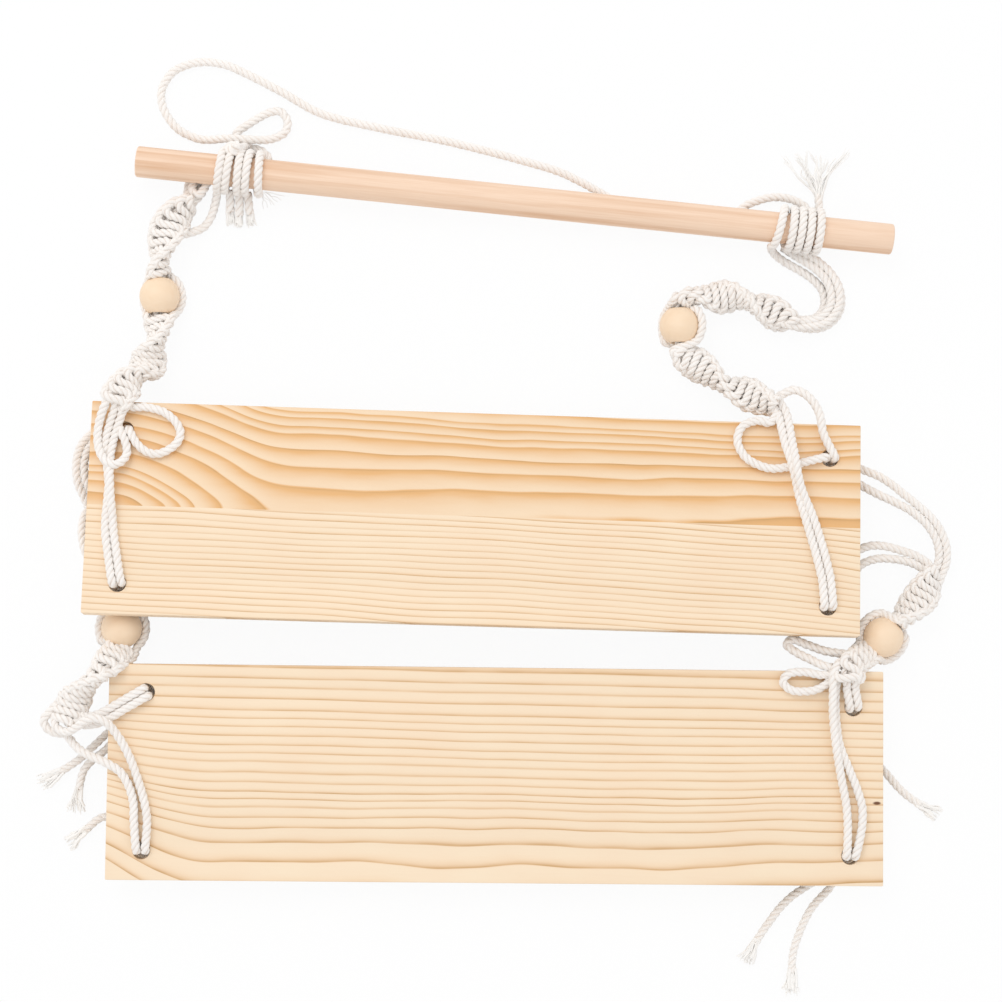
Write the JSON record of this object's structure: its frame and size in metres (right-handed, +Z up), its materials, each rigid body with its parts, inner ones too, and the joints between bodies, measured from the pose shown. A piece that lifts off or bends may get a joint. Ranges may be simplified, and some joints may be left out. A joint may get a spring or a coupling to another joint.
{
  "type": "hanging rope shelf",
  "caption": "Two-tier hanging shelf: rectangular pine boards carried by knotted cotton cord straps with wooden beads, tied to a round dowel with a hanging cord, shown lying flat.",
  "frame": {"origin": "bottom centre of the bounding box of the shelf as it lies flat, on the surface it lies on", "axes": "+Z up from the surface, out of the boards' upper faces; +X along the boards, to the right in the picture; +Y from the lower board to the dowel"},
  "size_m": [0.5044, 0.5182, 0.0379],
  "materials": {
    "pine": "bare satin pine with visible grain",
    "dowel": "smooth bare wood",
    "bead": "smooth bare wood",
    "cotton": "matt twisted cotton cord"
  },
  "bodies": {
    "upper_shelf": {"upper_shelf_board": "pine", "upper_shelf_knot_upper_left": "cotton", "upper_shelf_knot_upper_right": "cotton", "upper_shelf_knot_lower_left": "cotton", "upper_shelf_knot_lower_right": "cotton", "upper_left_leg_outer": "cotton", "upper_left_leg_inner": "cotton", "upper_left_leg_pair": "cotton", "upper_right_leg_outer": "cotton", "upper_right_leg_inner": "cotton", "upper_right_leg_pair": "cotton", "under_pair_upper_left": "cotton", "under_pair_upper_right": "cotton", "under_pair_lower_left": "cotton", "under_pair_lower_right": "cotton"},
    "upper_straps": {"left_winding": "cotton", "right_winding": "cotton", "left_neck": "cotton", "right_neck": "cotton", "upper_left_sennit_above": "cotton", "upper_left_sennit_below": "cotton", "upper_right_sennit_above": "cotton", "upper_right_sennit_below": "cotton", "upper_left_bead_cord_left": "cotton", "upper_left_bead_cord_right": "cotton", "upper_right_bead_cord_left": "cotton", "upper_right_bead_cord_right": "cotton", "right_frayed_end": "cotton", "hanging_cord": "cotton"},
    "dowel": {"dowel": "dowel"},
    "upper_left_bead": {"upper_left_bead": "bead"},
    "upper_right_bead": {"upper_right_bead": "bead"},
    "lower_straps": {"lower_left_sennit_above": "cotton", "lower_left_sennit_below": "cotton", "lower_right_sennit_above": "cotton", "lower_right_sennit_below": "cotton", "lower_left_bead_cord_left": "cotton", "lower_left_bead_cord_right": "cotton", "lower_right_bead_cord_left": "cotton", "lower_right_bead_cord_right": "cotton"},
    "lower_left_bead": {"lower_left_bead": "bead"},
    "lower_right_bead": {"lower_right_bead": "bead"},
    "lower_shelf": {"lower_shelf_board": "pine", "lower_shelf_knot_upper_left": "cotton", "lower_shelf_knot_upper_right": "cotton", "lower_shelf_knot_lower_left": "cotton", "lower_shelf_knot_lower_right": "cotton", "lower_left_leg_pair": "cotton", "lower_left_leg_front": "cotton", "lower_left_leg_back": "cotton", "lower_right_leg_pair": "cotton", "lower_right_leg_front": "cotton", "lower_right_leg_back": "cotton", "lower_right_slack_upper": "cotton", "lower_right_slack_lower": "cotton", "tails_upper_left": "cotton", "tails_upper_right": "cotton", "tails_lower_left": "cotton", "tails_lower_right": "cotton"}
  },
  "joints": [
    {"name": "upper_strap_swing", "type": "hinge", "parent": "upper_shelf", "child": "upper_straps", "pos_m": [-0.0129, 0.00077, 0.0275], "axis": [0.9996, -0.0297, 0], "range_deg": [0, 90], "deforming": ["upper_left_leg_outer", "upper_left_leg_inner", "upper_left_leg_pair", "upper_right_leg_outer", "upper_right_leg_inner", "upper_right_leg_pair"]},
    {"name": "dowel_turn", "type": "hinge", "parent": "upper_straps", "child": "dowel", "pos_m": [0.0097, 0.17747, 0.014], "axis": [0.9952, -0.0981, 0], "continuous": true},
    {"name": "upper_left_bead_turn", "type": "hinge", "parent": "upper_straps", "child": "upper_left_bead", "pos_m": [-0.1864, 0.12387, 0.011], "axis": [0, -1, 0], "continuous": true},
    {"name": "upper_right_bead_turn", "type": "hinge", "parent": "upper_straps", "child": "upper_right_bead", "pos_m": [0.1004, 0.10857, 0.011], "axis": [0, -1, 0], "continuous": true},
    {"name": "lower_strap_swing", "type": "hinge", "parent": "upper_shelf", "child": "lower_straps", "pos_m": [-0.0129, 0.00077, 0.008], "axis": [1, 0, 0], "range_deg": [0, 90], "deforming": ["under_pair_upper_left", "under_pair_upper_right", "under_pair_lower_left", "under_pair_lower_right"]},
    {"name": "lower_left_bead_turn", "type": "hinge", "parent": "lower_straps", "child": "lower_left_bead", "pos_m": [-0.2054, -0.05873, 0.011], "axis": [-0.1302, -0.9915, 0], "continuous": true},
    {"name": "lower_right_bead_turn", "type": "hinge", "parent": "lower_straps", "child": "lower_right_bead", "pos_m": [0.2113, -0.06363, 0.0145], "axis": [-0.7121, -0.7021, 0], "continuous": true},
    {"name": "lower_shelf_swing", "type": "hinge", "parent": "lower_straps", "child": "lower_shelf", "pos_m": [-0.0009, -0.13813, 0.012], "axis": [-1, 0, 0], "range_deg": [0, 90], "deforming": ["lower_left_leg_pair", "lower_left_leg_front", "lower_left_leg_back", "lower_right_leg_pair", "lower_right_leg_front", "lower_right_leg_back", "lower_right_slack_upper", "lower_right_slack_lower"]}
  ]
}
